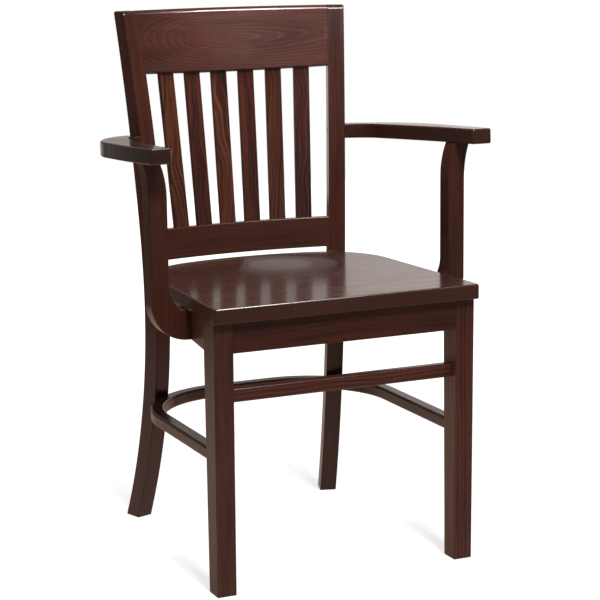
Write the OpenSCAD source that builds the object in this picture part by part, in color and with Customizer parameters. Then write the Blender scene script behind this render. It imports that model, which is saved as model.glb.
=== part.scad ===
// Pub armchair in stained beech: a flat wooden seat on four legs, a bowed back of six
// fanned slats, two sawn arms on curved supports, a front stretcher and a bent hoop.
// Millimetres. +Z is up, +Y runs from the seat's front to its back, and left and right
// are as seen from the front, so left is -X. Paired pieces are drawn on the left and
// mirrored. Inside the modules Y starts at the front legs' front face; placed() then
// moves the chair so that the middle of its footprint is the origin.

/* [Seat] */
// Height of the seat's top above the floor
seat_h = 455; // [430:1:480]
// Thickness of the seat panel
seat_t = 24; // [18:1:30]
// Width of the seat at its front edge
seat_w = 452; // [446:1:480]
// Depth of the seat from its front edge to the middle of its rear edge
seat_d = 419; // [405:1:425]
// How far the seat stands out in front of the front legs
seat_nose = 13; // [4:1:25]
// Angle by which each side edge closes in towards the back, in degrees
seat_side_lean = 3.05; // [1.5:0.05:4]
// Radius of the seat's two front corners
seat_front_r = 6; // [3:1:25]
// Radius of the seat's two rear corners
seat_corner_r = 123; // [100:1:135]
// Radius of the arched rear edge
seat_back_r = 500; // [400:5:700]

/* [Front legs] */
// Width over the two front legs
front_span = 445; // [425:1:446]
// Width of a front leg
leg_w = 32; // [28:1:34]
// Depth of a front leg at its top
leg_d = 44; // [38:1:48]
// Depth of a front leg at the floor
leg_foot_d = 34; // [26:1:38]

/* [Rear legs] */
// Height of the rear legs' tops above the floor
post_h = 876; // [840:1:920]
// Distance between the outer front arrises of the rear legs at the floor
post_foot_span = 383; // [375:1:395]
// Distance from the front legs' front face back to the same arris at the floor
post_foot_y = 450; // [440:1:470]
// Thickness of a rear leg's plank
post_w = 29; // [26:1:32]
// Depth of a rear leg at the floor
post_foot_d = 33; // [30:1:40]
// Depth of a rear leg at the seat
post_seat_d = 34; // [32:1:42]
// Depth of a rear leg at its top
post_top_d = 27; // [25:1:32]
// Angle by which each rear leg turns to face inwards, in degrees
post_turn = 17.5; // [14:0.5:20]
// Angle by which each rear leg spreads outwards going up, in degrees
post_splay = 1.15; // [0.5:0.05:2]
// Height at which the rear legs come furthest forward
post_belly_h = 406; // [390:1:420]
// Radius of the rear legs' sweep below and just above the seat
post_sweep_r = 1095; // [1000:5:1300]
// Height at which the sweep eases into the flatter back
post_ease_h = 506; // [490:1:530]
// Radius of the flatter back above that
post_back_r = 3830; // [3000:10:6000]

/* [Seat frame] */
// Height of the four seat rails
rail_h = 49; // [42:1:60]
// Thickness of the four seat rails
rail_t = 22; // [18:1:24]
// How far the front rail lies behind the front legs' front face
front_rail_in = 1; // [0:0.5:6]
// How far a side rail lies inside the outer face of the front leg
side_rail_in = 2; // [1:0.5:5]
// How far the rear rail lies behind the rear legs' inner front arris
rear_rail_in = 2; // [1:0.5:8]
// Leg length of a triangular corner block
block_leg = 56; // [52:1:64]
// Height of a corner block
block_h = 32; // [24:1:38]

/* [Back] */
// Height of the crest rail
crest_h = 101; // [80:1:120]
// Thickness of the crest rail
crest_t = 26; // [22:0.5:27]
// How far the crest rail bows back between the posts
crest_bow = 21; // [12:0.5:28]
// How far the crest rail's top edge arches up in its middle
crest_crown = 6; // [2:0.5:14]
// Gap between the seat's top and the lower back rail
low_rail_gap = 8; // [5:1:25]
// Height of the lower back rail
low_rail_h = 52; // [40:1:60]
// Thickness of the lower back rail
low_rail_t = 21; // [18:0.5:26]
// How far the lower back rail bows back between the posts
low_bow = 26.5; // [16:0.5:30]
// Width of a back slat
slat_w = 27.5; // [20:0.5:32]
// Thickness of a back slat
slat_t = 9.5; // [8:0.5:12]
// Spacing of the slats at the crest rail
slat_pitch_top = 50; // [44:0.5:51]
// Spacing of the slats at the lower rail
slat_pitch_low = 45.5; // [42:0.5:47]
// Depth to which each slat end is housed
slat_tenon = 12; // [8:1:20]
// Clearance round a slat in its housing
slat_fit = 0.15; // [0.05:0.05:0.4]

/* [Arms] */
// Height of an arm's top above the seat where it meets the post
arm_root_rise = 218; // [200:1:235]
// Height of an arm's top above the seat at its front end
arm_front_rise = 235; // [220:1:245]
// Thickness of an arm
arm_t = 24.5; // [20:0.5:30]
// How far an arm's front end lies behind the front legs' front face
arm_front_y = 68; // [50:1:85]
// Width of an arm at its front end
arm_front_w = 35; // [30:1:42]
// Distance from the chair's middle to an arm's outer front corner
arm_out_x = 291; // [284:1:300]
// Distance from the chair's middle to the inside of an arm's elbow
elbow_x = 230; // [222:1:236]
// Distance of the elbow behind the front legs' front face
elbow_y = 312; // [300:1:330]
// Distance from the chair's middle to the outside of an arm's elbow
elbow_out_x = 290; // [284:1:296]

/* [Arm supports] */
// Distance from the chair's middle to a support's outer face
support_x = 274; // [270:1:278]
// Width of a support seen from the front
support_w = 30; // [24:1:32]
// Depth of a support seen from the side
support_d = 30; // [22:1:32]
// Distance of a support's front face behind the front legs' front face
support_y = 125; // [110:1:140]
// Radius of a support's rounded heel
heel_r = 60; // [45:1:64]
// Radius of the hollow inside a support's heel
hollow_r = 57; // [48:1:62]
// Height above the seat at which the hollow starts
hollow_rise = 17; // [10:1:24]
// How far the top of a support flares outwards
flare = 10; // [4:1:14]
// Height over which it flares
flare_h = 62; // [50:1:80]

/* [Stretchers] */
// Height of the front stretcher's top
front_bar_top = 323; // [300:1:345]
// Height of the front stretcher
front_bar_h = 22; // [15:1:24]
// Depth of the front stretcher
front_bar_d = 18; // [14:1:20]
// How far the front stretcher lies behind the front legs' front face
front_bar_in = 20.5; // [16:0.5:21]
// Height of the hoop's top
hoop_top = 228.5; // [200:0.5:250]
// Height of the hoop's section
hoop_h = 20; // [15:1:24]
// Width of the hoop's section
hoop_w = 23; // [18:1:24]
// Distance from the chair's middle to the centre line of the hoop's sides
hoop_x = 206.5; // [204:0.5:208]
// Distance of the hoop's back centre line behind the front legs' front face
hoop_y = 424; // [422:0.5:426]
// Radius of the hoop's bends on its centre line
hoop_r = 156; // [150:1:157]
// Radius of the rounded edges on the hoop and the front stretcher
bar_round = 4; // [1:0.5:5]

/* [Fasteners] */
// Diameter of the dowels
dowel_dia = 8; // [6:0.5:10]
// Length of a dowel, half of it in each piece
dowel_len = 36; // [28:1:44]
// Clearance between a dowel or a screw and its hole
hole_fit = 0.1; // [0.05:0.05:0.3]
// Diameter of a screw's shank
screw_dia = 4.5; // [3.5:0.5:6]
// Diameter of a screw's head
screw_head_dia = 8.5; // [7:0.5:10]
// Length of a screw in the piece that it draws up
screw_bite = 18; // [14:1:20]
// Diameter of the wooden plug over an arm screw
plug_dia = 10; // [9:0.5:12]
// Thickness of that plug
plug_t = 5; // [3:0.5:7]

/* [Hidden] */
$fn = 48;
arc_steps = 16;      // points on each sawn arc
overrun = 60;        // how far blanks run on before they are trimmed
reach = 1200;        // size of the trimming blocks, larger than the chair

SIDES = [["left", 0], ["right", 1]];

wood = "#4a2620";
end_wood = "#3a1d19";
dowel_wood = "#c9a778";
steel = "#9a9a96";

// Heights that the seat sets
frame_top = seat_h - seat_t;
frame_bottom = frame_top - rail_h;
low_rail_z = seat_h + low_rail_gap;
arm_root_h = seat_h + arm_root_rise;
arm_front_h = seat_h + arm_front_rise;

// Side profile of the rear legs, from the front: y of the front edge at each height
function sweep_y(z) = post_sweep_r - sqrt(pow(post_sweep_r, 2) - pow(z - post_belly_h, 2));
ease_angle = asin((post_ease_h - post_belly_h) / post_sweep_r);
back_cy = sweep_y(post_ease_h) + post_back_r * cos(ease_angle);
back_cz = post_ease_h - post_back_r * sin(ease_angle);
function back_y(z) = back_cy - sqrt(pow(post_back_r, 2) - pow(z - back_cz, 2));
function profile_y(z) = z < post_ease_h ? sweep_y(z) : back_y(z);
function mix(a, b, t) = a + (b - a) * t;
function post_depth(z) = z < seat_h
    ? mix(post_foot_d, post_seat_d, z / seat_h)
    : mix(post_seat_d, post_top_d, (z - seat_h) / (post_h - seat_h));

// The left rear leg's own frame: a runs inwards through the plank, b runs back. The
// outer front arris stands at (post_a, post_b + profile_y) where the floor puts it.
foot_x = -post_foot_span / 2;
post_a = foot_x * cos(post_turn) + post_foot_y * sin(post_turn);
post_b = -foot_x * sin(post_turn) + post_foot_y * cos(post_turn) - profile_y(0);
function leg_a(z) = post_a - z * tan(post_splay);
function leg_b(z) = post_b + profile_y(z);
function from_leg(a, b) = [a * cos(post_turn) - b * sin(post_turn),
                           a * sin(post_turn) + b * cos(post_turn)];
// The plank leans, so its level width is a little more than its thickness, and its
// inner face is at each height a little lower on the profile than its outer face
post_level_w = post_w / cos(post_splay);
function plank_z(z, a) = (z - a * sin(post_splay)) / cos(post_splay);
function outer_arris(z) = from_leg(leg_a(z), leg_b(plank_z(z, 0)));
function inner_arris(z) = from_leg(leg_a(z) + post_level_w, leg_b(plank_z(z, post_w)));
function inner_heel(z) = from_leg(leg_a(z) + post_level_w,
    leg_b(plank_z(z, post_w)) + post_depth(plank_z(z, post_w)));

// The chair is centred between the seat's nose and the rear feet
mid_y = (inner_heel(0)[1] - seat_nose) / 2;

// Bowed boards between the posts. board() holds what describes one of them.
function drop(r, x) = r - sqrt(r * r - x * x);
function board(z0, z1, bow, t) =
    let (half = -inner_arris(z0)[0], half_top = -inner_arris(z1)[0],
         r = (half * half + bow * bow) / (2 * bow),
         rise = inner_arris(z1)[1] - inner_arris(z0)[1] + drop(r, half_top) - drop(r, half),
         lean = atan(rise / (z1 - z0)))
    [z0, inner_arris(z0)[1], lean, r, bow, t, (z1 - z0) / cos(lean), half_top];
// A point of a board: x across, d behind its front face, h up its height
function on_board(bd, x, d, h) =
    let (y = bd[4] - drop(bd[3], x) + d)
    [x, bd[1] + y * cos(bd[2]) + h * sin(bd[2]), bd[0] - y * sin(bd[2]) + h * cos(bd[2])];
crest = board(post_h - crest_h, post_h, crest_bow, crest_t);
low_rail = board(low_rail_z, low_rail_z + low_rail_h, low_bow, low_rail_t);

// Arms: the line that the top face follows, and the rise towards the front
arm_root = outer_arris(arm_root_h);
arm_rise = atan((arm_front_h - arm_root_h) / (arm_root[1] - arm_front_y));

// Angle of a side rail, from the front leg's outer face to the post's outer arris
side_x0 = -front_span / 2 + side_rail_in;
side_y0 = leg_d;
post_corner = from_leg(leg_a(frame_top), post_b);
side_lean = atan((post_corner[0] - side_x0) / (post_corner[1] - side_y0));

// Hoop: centre of each bend
bend_x = hoop_x - hoop_r;
bend_y = hoop_y - hoop_r;

// Taper of the front legs, shared by the front and the rear face
leg_taper = (leg_d - leg_foot_d) / 2;
function leg_front(z) = leg_taper * (1 - z / frame_top);
function leg_back(z) = leg_d - leg_taper * (1 - z / frame_top);

module placed() { translate([0, -mid_y, 0]) children(); }
module on_side(right) { mirror([right, 0, 0]) children(); }
module both_sides() { for (s = [0, 1]) mirror([s, 0, 0]) children(); }
// Puts children, drawn in the left rear leg's own frame, in the chair
module in_leg() { rotate([0, 0, post_turn]) children(); }
// Puts children in a bowed board's own frame, at its lower edge and front face
module in_board(bd) { translate([0, bd[1], bd[0]]) rotate([-bd[2], 0, 0]) children(); }

// A bar's section with rounded edges
module soft_rect(w, h, r) {
    square([w - 2 * r, h], center = true);
    square([w, h - 2 * r], center = true);
    for (x = [-1, 1], y = [-1, 1]) translate([x * (w / 2 - r), y * (h / 2 - r)]) circle(r);
}

// Space between the inner faces of the two rear legs
module between_posts() {
    intersection_for (s = [0, 1]) mirror([s, 0, 0]) in_leg()
        translate([leg_a(0) + post_level_w, 0, 0]) rotate([0, -post_splay, 0])
            translate([0, -reach / 2, -reach / 2]) cube([reach, 2 * reach, 2 * reach]);
}

// One dowel along X, centred on the origin, and its hole
module dowel() { rotate([0, 90, 0]) cylinder(d = dowel_dia, h = dowel_len, center = true); }
module dowel_hole() {
    rotate([0, 90, 0])
        cylinder(d = dowel_dia + 2 * hole_fit, h = dowel_len + 1, center = true);
}
module fixing(hole) { if (hole) dowel_hole(); else dowel(); }

// A countersunk screw along +Z with the top of its head at the origin, and its hole,
// which is bored to the head's width for the length sunk outside the head
head_h = (screw_head_dia - screw_dia) / 2;
module screw(len, hole = false, sunk = 1) {
    grow = hole ? hole_fit : 0;
    cylinder(d1 = screw_head_dia + 2 * grow, d2 = screw_dia + 2 * grow, h = head_h);
    cylinder(d = screw_dia + 2 * grow, h = len + (hole ? 1 : 0));
    if (hole) translate([0, 0, -sunk]) cylinder(d = screw_head_dia + 2 * grow, h = sunk + 0.001);
}

// Seat

// Centre of the left rear corner's arc: inside the rear arc and the side edge
seat_back_y = seat_d - seat_nose;
arch_cy = seat_back_y - seat_back_r;
corner_reach = seat_back_r - seat_corner_r;
side_cut = seat_w / 2 - seat_corner_r / cos(seat_side_lean)
    - (arch_cy + seat_nose) * tan(seat_side_lean);
// The centre is side_cut - y * tan(seat_side_lean) across and y above the arch's centre
function seat_corner() =
    let (k = tan(seat_side_lean), a = 1 + k * k, b = -2 * side_cut * k,
         c = side_cut * side_cut - corner_reach * corner_reach,
         y = (-b + sqrt(b * b - 4 * a * c)) / (2 * a))
    [side_cut - k * y, arch_cy + y];
corner_c = seat_corner();

function arc(cx, cy, r, a0, a1, n = arc_steps) =
    [for (i = [0:n]) let (a = mix(a0, a1, i / n)) [cx + r * cos(a), cy + r * sin(a)]];
function flip(points) = [for (i = [len(points) - 1:-1:0]) [-points[i][0], points[i][1]]];

// Right half of the seat's outline, from the front to the middle of the rear edge
front_x = seat_w / 2 - seat_front_r * (1 + tan(seat_side_lean));
arch_end = atan2(corner_c[1] - arch_cy, corner_c[0]);
seat_half = concat(
    arc(front_x, seat_front_r - seat_nose, seat_front_r, -90, seat_side_lean, 8),
    arc(corner_c[0], corner_c[1], seat_corner_r, seat_side_lean, arch_end),
    arc(0, arch_cy, seat_back_r, arch_end + 1, 90));

module seat_panel() color(wood) difference() {
    translate([0, 0, frame_top]) linear_extrude(seat_t)
        polygon(concat(seat_half, flip(seat_half)));
    seat_screw_set(true);
}

// Legs

module front_leg() {
    translate([-front_span / 2, 0, 0]) rotate([90, 0, 90]) linear_extrude(leg_w)
        polygon([[leg_front(0), 0], [leg_back(0), 0], [leg_d, frame_top], [0, frame_top]]);
}

module front_leg_piece(right) color(wood) on_side(right) difference() {
    front_leg();
    front_dowels(true);
    side_front_dowels(true);
    hoop_dowel(true);
    bar_dowel(true);
}

post_z = [for (i = [0:2 * arc_steps]) mix(-overrun / 2, post_h + overrun / 2, i / (2 * arc_steps))];

// The left rear leg: a plank sawn to the side profile, leaned outwards and turned
module rear_leg() intersection() {
    in_leg() translate([post_a, post_b, 0]) rotate([0, -post_splay, 0])
        rotate([90, 0, 90]) linear_extrude(post_w) polygon(concat(
            [for (z = post_z) [profile_y(z), z]],
            [for (i = [len(post_z) - 1:-1:0])
                [profile_y(post_z[i]) + post_depth(post_z[i]), post_z[i]]]));
    translate([-reach / 2, -reach / 2, 0]) cube([reach, 2 * reach, post_h]);
}

module rear_leg_piece(right) color(wood) on_side(right) difference() {
    rear_leg();
    side_rear_dowels(true);
    rear_dowels(true);
    crest_dowels(true);
    low_rail_dowels(true);
    arm_root_dowel(true);
    arm_screw(true);
    hoop_solid(hole_fit);
    hoop_screw(true);
}

// Seat frame

module front_seat_rail() color(wood) difference() {
    translate([-front_span / 2 + leg_w, front_rail_in, frame_bottom])
        cube([front_span - 2 * leg_w, rail_t, rail_h]);
    both_sides() { front_dowels(true); block_screws_front(true); }
}

module side_rail_blank() difference() {
    intersection() {
        translate([side_x0, side_y0, frame_bottom]) rotate([0, 0, -side_lean])
            translate([0, -overrun, 0]) cube([rail_t, reach, rail_h]);
        translate([-reach, side_y0, 0]) cube([2 * reach, reach, reach]);
        in_leg() translate([-reach, post_b + 2 - 2 * reach, 0])
            cube([2 * reach, 2 * reach, reach]);
    }
    rear_leg();
}

module side_seat_rail(right) color(wood) on_side(right) difference() {
    side_rail_blank();
    side_front_dowels(true);
    side_rear_dowels(true);
    support_screws(true);
    block_screws_side(true);
}

rear_rail_y = inner_arris(frame_bottom)[1] + rear_rail_in;
module rear_seat_rail() color(wood) difference() {
    intersection() {
        translate([-reach / 2, rear_rail_y, frame_bottom]) cube([reach, rail_t, rail_h]);
        between_posts();
    }
    both_sides() { rear_dowels(true); block_screws_rear(true); }
}

// Triangular blocks glued and screwed into the frame's inner corners
block_z = frame_top - block_h;
front_corner = [-front_span / 2 + leg_w, front_rail_in + rail_t];
inner_face_x = side_x0 + rail_t / cos(side_lean);
function side_inner_x(y) = inner_face_x + (y - side_y0) * tan(side_lean);

module front_corner_block(right) color(end_wood) on_side(right) difference() {
    translate([0, 0, block_z]) linear_extrude(block_h) polygon([
        [front_corner[0], front_corner[1]],
        [front_corner[0] + block_leg, front_corner[1]],
        [side_inner_x(leg_d + block_leg), leg_d + block_leg],
        [side_inner_x(leg_d), leg_d],
        [front_corner[0], leg_d]]);
    block_screws_front(true);
    block_screws_side_front(true);
    seat_screws_front(true);
}

rear_corner = inner_arris(frame_bottom);
module rear_corner_block(right) color(end_wood) on_side(right) difference() {
    translate([0, 0, block_z]) linear_extrude(block_h) polygon([
        [rear_corner[0], rear_rail_y],
        [rear_corner[0] + block_leg, rear_rail_y],
        [side_inner_x(rear_rail_y - block_leg), rear_rail_y - block_leg],
        [side_inner_x(post_corner[1]), post_corner[1]]]);
    rear_leg();
    block_screws_rear(true);
    block_screws_side_rear(true);
    seat_screws_rear(true);
}

// Back

module bowed_board(bd, h) {
    in_board(bd) translate([0, bd[4] - bd[3], -overrun / 4]) rotate([0, 0, 45])
        rotate_extrude(angle = 90, $fn = 180)
            translate([bd[3], 0]) square([bd[5], h + overrun / 4]);
}

// Front outline of the crest rail, arched on top, in its board's own frame
crown_half = crest[7] + post_w;
crown_r = (crown_half * crown_half + crest_crown * crest_crown) / (2 * crest_crown);
module crest_outline() {
    in_board(crest) translate([0, reach / 2, 0]) rotate([90, 0, 0]) linear_extrude(reach)
        polygon(concat([[crown_half, 0]],
            [for (i = [0:arc_steps]) let (x = mix(crown_half, -crown_half, i / arc_steps))
                [x, crest[6] + crest_crown - drop(crown_r, x)]],
            [[-crown_half, 0]]));
}

module crest_rail() color(wood) difference() {
    intersection() {
        bowed_board(crest, crest[6] + overrun);
        crest_outline();
        between_posts();
    }
    for (k = [1:6]) slat(k, slat_fit);
    both_sides() crest_dowels(true);
}

module lower_back_rail() color(wood) difference() {
    intersection() {
        in_board(low_rail) translate([0, low_rail[4] - low_rail[3], 0]) rotate([0, 0, 45])
            rotate_extrude(angle = 90, $fn = 180)
                translate([low_rail[3], 0]) square([low_rail_t, low_rail[6]]);
        between_posts();
    }
    for (k = [1:6]) slat(k, slat_fit);
    both_sides() low_rail_dowels(true);
}

// Slat k of 6 stands from the lower rail's top edge to the crest rail's underside,
// in the middle of both, and turns to follow their bow
module slat(k, grow = 0) {
    place = k - 3.5;
    foot = on_board(low_rail, place * slat_pitch_low, low_rail_t / 2, low_rail[6]);
    head = on_board(crest, place * slat_pitch_top, crest_t / 2, 0);
    run = head - foot;
    len = norm(run);
    turn = (asin(-foot[0] / low_rail[3]) + asin(-head[0] / crest[3])) / 2;
    size = slat_tenon + grow;
    translate(foot) rotate([-asin(run[1] / len), atan2(run[0], run[2]), 0])
        rotate([0, 0, turn]) translate([0, 0, -size])
            linear_extrude(len + 2 * size) square([slat_w + 2 * grow, slat_t + 2 * grow], center = true);
}
module back_slat(k) color(wood) slat(k);

// Arms

function bezier(p, q, r, s, n = arc_steps) = [for (i = [0:n]) let (t = i / n, u = 1 - t)
    u * u * u * p + 3 * u * u * t * q + 3 * u * t * t * r + t * t * t * s];

arm_in_x = arm_out_x - arm_front_w;
arm_front_r = 4;       // easing of the front corners
arm_heel = 6;          // how far an arm runs past the back of its root on the post
arm_run = elbow_y - arm_front_y;
arm_back = arm_root[1] - elbow_y;
root_x = -arm_root[0];
root_back_y = arm_root[1] + post_seat_d + arm_heel;
arm_line = concat(
    // Inner edge, from the post round the elbow to the front
    bezier([root_x, arm_root[1]], [elbow_x - arm_back * 0.05, arm_root[1] - arm_back * 0.3],
           [elbow_x - arm_back * 0.1, elbow_y + arm_back * 0.45], [elbow_x, elbow_y]),
    bezier([elbow_x + 1, elbow_y - 6], [elbow_x + arm_run * 0.04, elbow_y - arm_run * 0.25],
           [arm_in_x, arm_front_y + arm_run * 0.38], [arm_in_x, arm_front_y + arm_front_r]),
    [[arm_in_x + arm_front_r, arm_front_y], [arm_out_x - arm_front_r, arm_front_y - 1]],
    // Outer edge, from the front back to the post
    bezier([arm_out_x, arm_front_y + arm_front_r], [arm_out_x + 5, arm_front_y + arm_run * 0.3],
           [elbow_out_x + 3, elbow_y - arm_run * 0.38], [elbow_out_x, elbow_y - arm_back * 0.5]),
    bezier([elbow_out_x, elbow_y - arm_back * 0.45], [elbow_out_x, elbow_y + arm_back * 0.27],
           [mix(root_x, elbow_out_x, 0.55), root_back_y - 3], [root_x + 1, root_back_y]),
    [[root_x - post_w, root_back_y], [root_x - post_w, arm_root[1]]]);

// Puts children on the sloping top face of the arms
module on_arm() {
    translate([0, arm_root[1], arm_root_h]) rotate([-arm_rise, 0, 0])
        translate([0, -arm_root[1], 0]) children();
}

// Space outside the outer face of the left rear leg
module outside_post() {
    in_leg() translate([leg_a(0), 0, 0]) rotate([0, -post_splay, 0])
        translate([-reach, -reach / 2, -reach / 2]) cube([reach, 2 * reach, 2 * reach]);
}

module arm_blank() intersection() {
    on_arm() translate([0, 0, -arm_t]) linear_extrude(arm_t)
        polygon([for (p = arm_line) [-p[0], p[1]]]);
    outside_post();
}

module armrest(right) color(wood) on_side(right) difference() {
    arm_blank();
    arm_root_dowel(true);
    arm_screw(true);
    support_dowel(true);
}

// Support: a sawn bracket, drawn in its front view and trimmed under the arm
stem_in = support_x - support_w;
hollow_z = seat_h + hollow_rise;
hollow_end = asin((hollow_z - frame_top) / hollow_r);
flare_z = arm_front_h - arm_t - flare_h;
foot_in_x = 150;       // inside the side rail, where the foot is trimmed
support_line = concat(
    [[foot_in_x, frame_bottom]],
    arc(support_x - heel_r, frame_bottom + heel_r, heel_r, -90, 0),
    bezier([support_x, flare_z], [support_x, flare_z + flare_h / 2],
           [support_x + flare * 0.6, flare_z + flare_h * 0.8],
           [support_x + flare, flare_z + flare_h], 8),
    [[support_x + flare * 1.4, arm_front_h], [stem_in + flare * 1.6, arm_front_h]],
    bezier([stem_in + flare * 1.2, flare_z + flare_h],
           [stem_in + flare * 0.7, flare_z + flare_h * 0.8],
           [stem_in, flare_z + flare_h / 2], [stem_in, flare_z], 8),
    arc(stem_in - hollow_r, hollow_z, hollow_r, 0, -hollow_end),
    [[foot_in_x, frame_top]]);

module support_blank() difference() {
    intersection() {
        translate([0, support_y + support_d, 0]) rotate([90, 0, 0]) linear_extrude(support_d)
            polygon([for (p = support_line) [-p[0], p[1]]]);
        // Outside the side rail's outer face
        translate([side_x0, side_y0, 0]) rotate([0, 0, -side_lean])
            translate([-reach, -reach / 2, 0]) cube([reach, reach, reach]);
    }
    // Under the arm
    on_arm() translate([-reach / 2, -reach / 2, -arm_t]) cube([reach, 2 * reach, reach]);
}

module arm_support(right) color(wood) on_side(right) difference() {
    support_blank();
    support_screws(true);
    support_dowel(true);
}

// Stretchers

bar_z = front_bar_top - front_bar_h / 2;
module front_stretcher() color(wood) difference() {
    translate([0, front_bar_in + front_bar_d / 2, bar_z]) rotate([90, 0, 90])
        linear_extrude(front_span - 2 * leg_w, center = true)
            soft_rect(front_bar_d, front_bar_h, bar_round);
    both_sides() bar_dowel(true);
}

hoop_z = hoop_top - hoop_h / 2;
hoop_front = leg_back(hoop_z);
module hoop_section(grow) { soft_rect(hoop_w + 2 * grow, hoop_h + 2 * grow, bar_round); }
module hoop_solid(grow = 0) {
    translate([0, hoop_y, hoop_z]) rotate([90, 0, 90])
        linear_extrude(2 * bend_x, center = true) hoop_section(grow);
    both_sides() {
        translate([bend_x, bend_y, hoop_z]) rotate_extrude(angle = 90, $fn = 180)
            translate([hoop_r, 0]) hoop_section(grow);
        translate([hoop_x, bend_y, hoop_z]) rotate([90, 0, 0])
            linear_extrude(bend_y - hoop_front + 2) hoop_section(grow);
    }
}

module hoop_stretcher() color(wood) difference() {
    hoop_solid();
    both_sides() { front_leg(); hoop_dowel(true); hoop_screw(true); }
}

// Places of the dowels, drawn on the left. hole is true for the holes they sit in.

rail_dowel_z = [frame_bottom + rail_h * 0.28, frame_bottom + rail_h * 0.72];

module front_dowels(hole = false) {
    for (z = rail_dowel_z)
        translate([-front_span / 2 + leg_w, front_rail_in + rail_t / 2, z]) fixing(hole);
}
module side_front_dowels(hole = false) {
    for (z = rail_dowel_z) translate([side_x0, side_y0, z]) rotate([0, 0, -side_lean])
        translate([rail_t / 2, 0, (z > frame_bottom + rail_h / 2 ? -1 : 1) * dowel_dia * 0.1])
            rotate([0, 0, 90]) fixing(hole);
}
side_end = [side_inner_x(post_corner[1]) - rail_t / 2 + 1, post_corner[1] + 4];
module side_rear_dowels(hole = false) {
    for (z = rail_dowel_z) translate([side_end[0], side_end[1], z])
        rotate([0, 0, 90 - side_lean / 2 + post_turn / 2]) fixing(hole);
}
module rear_dowels(hole = false) {
    for (z = rail_dowel_z)
        translate([inner_arris(z)[0] + rail_t * 0.35, rear_rail_y + rail_t / 2, z]) fixing(hole);
}
module leg_face_dowels(heights, depth, hole) {
    for (z = heights) in_leg() translate([leg_a(z) + post_level_w, leg_b(z) + depth, z])
        rotate([0, -post_splay, 0]) fixing(hole);
}
module crest_dowels(hole = false) {
    leg_face_dowels([post_h - crest_h * 0.75, post_h - crest_h * 0.28], crest_t / 2, hole);
}
module low_rail_dowels(hole = false) {
    leg_face_dowels([low_rail_z + low_rail_h * 0.28, low_rail_z + low_rail_h * 0.72],
        low_rail_t / 2, hole);
}
module bar_dowel(hole = false) {
    translate([-front_span / 2 + leg_w, front_bar_in + front_bar_d / 2, bar_z]) fixing(hole);
}
module hoop_dowel(hole = false) {
    translate([-hoop_x, hoop_front, hoop_z]) rotate([0, 0, 90]) fixing(hole);
}
arm_joint_z = arm_root_h - arm_t / 2;
module arm_root_dowel(hole = false) {
    in_leg() translate([leg_a(arm_joint_z), leg_b(arm_joint_z) + post_seat_d * 0.25, arm_joint_z])
        rotate([0, -post_splay, 0]) fixing(hole);
}
support_mid = [-(support_x + flare - support_w / 2 + 1), support_y + support_d / 2];
module support_dowel(hole = false) {
    on_arm() translate([support_mid[0], support_mid[1], -arm_t - dowel_len * 0.1])
        rotate([0, 90, 0]) fixing(hole);
}

// Places of the screws, drawn on the left

// Through the post into the arm, from a counterbore that the plug closes
arm_screw_len = post_w + screw_bite;
module arm_screw_place() {
    in_leg() translate([leg_a(arm_joint_z) + post_level_w,
                        leg_b(arm_joint_z) + post_seat_d * 0.62, arm_joint_z])
        rotate([0, -90 - post_splay, 0]) children();
}
module arm_screw(hole = false) {
    arm_screw_place() {
        translate([0, 0, plug_t]) screw(arm_screw_len - plug_t, hole);
        if (hole) translate([0, 0, -1]) cylinder(d = plug_dia + 2 * hole_fit, h = plug_t + 1);
    }
}
module arm_plug() { arm_screw_place() cylinder(d = plug_dia, h = plug_t); }

// Through the side rail into the foot of the support
support_screw_len = rail_t + screw_bite;
module support_screws(hole = false) {
    for (z = [frame_bottom + rail_h * 0.35, frame_bottom + rail_h * 0.65])
        translate([side_inner_x(support_y + support_d / 2), support_y + support_d / 2, z])
            rotate([0, -90, -side_lean]) screw(support_screw_len, hole);
}

// From inside the hoop into the rear leg's inner arris
post_arris = inner_arris(hoop_z);
hoop_aim = atan2(post_arris[1] - bend_y, -post_arris[0] - bend_x);
hoop_screw_len = hoop_w + screw_bite;
module hoop_screw(hole = false) {
    translate([-bend_x, bend_y, hoop_z]) rotate([0, 0, 180 - hoop_aim])
        translate([hoop_r - hoop_w / 2, 0, 0]) rotate([0, 90, 0]) screw(hoop_screw_len, hole);
}

// Through each block into the rails beside it, and up into the seat. The screws pass
// beyond the dowels, and their heads lie in bores from the block's long face.
block_in = 11;         // depth of wood between a head and the rail
block_screw_len = block_in + screw_bite;
block_mid_z = block_z + block_h / 2;
past_dowel = dowel_len / 2 + screw_head_dia;
module block_screw(hole) { screw(block_screw_len, hole, block_leg); }
module block_screws_front(hole = false) {
    translate([front_corner[0] + past_dowel, front_corner[1] + block_in, block_mid_z])
        rotate([90, 0, 0]) block_screw(hole);
}
module block_screws_side_front(hole = false) {
    y = leg_d + past_dowel;
    translate([side_inner_x(y) + block_in, y, block_mid_z - screw_head_dia])
        rotate([0, -90, -side_lean]) block_screw(hole);
}
module block_screws_rear(hole = false) {
    translate([rear_corner[0] + past_dowel + rail_t * 0.35, rear_rail_y - block_in, block_mid_z])
        rotate([-90, 0, 0]) block_screw(hole);
}
module block_screws_side_rear(hole = false) {
    y = post_corner[1] - past_dowel;
    translate([side_inner_x(y) + block_in, y, block_mid_z - screw_head_dia])
        rotate([0, -90, -side_lean]) block_screw(hole);
}
module block_screws_side(hole = false) {
    block_screws_side_front(hole);
    block_screws_side_rear(hole);
}
seat_screw_len = block_h + seat_t * 0.6;
module seat_screws_front(hole = false) {
    translate([front_corner[0] + block_leg * 0.22, leg_d + block_leg * 0.2, block_z])
        screw(seat_screw_len, hole);
}
module seat_screws_rear(hole = false) {
    translate([rear_corner[0] + block_leg * 0.1, rear_rail_y - block_leg * 0.28, block_z])
        screw(seat_screw_len, hole);
}
module seat_screw_set(hole = false) {
    both_sides() { seat_screws_front(hole); seat_screws_rear(hole); }
}

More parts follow.
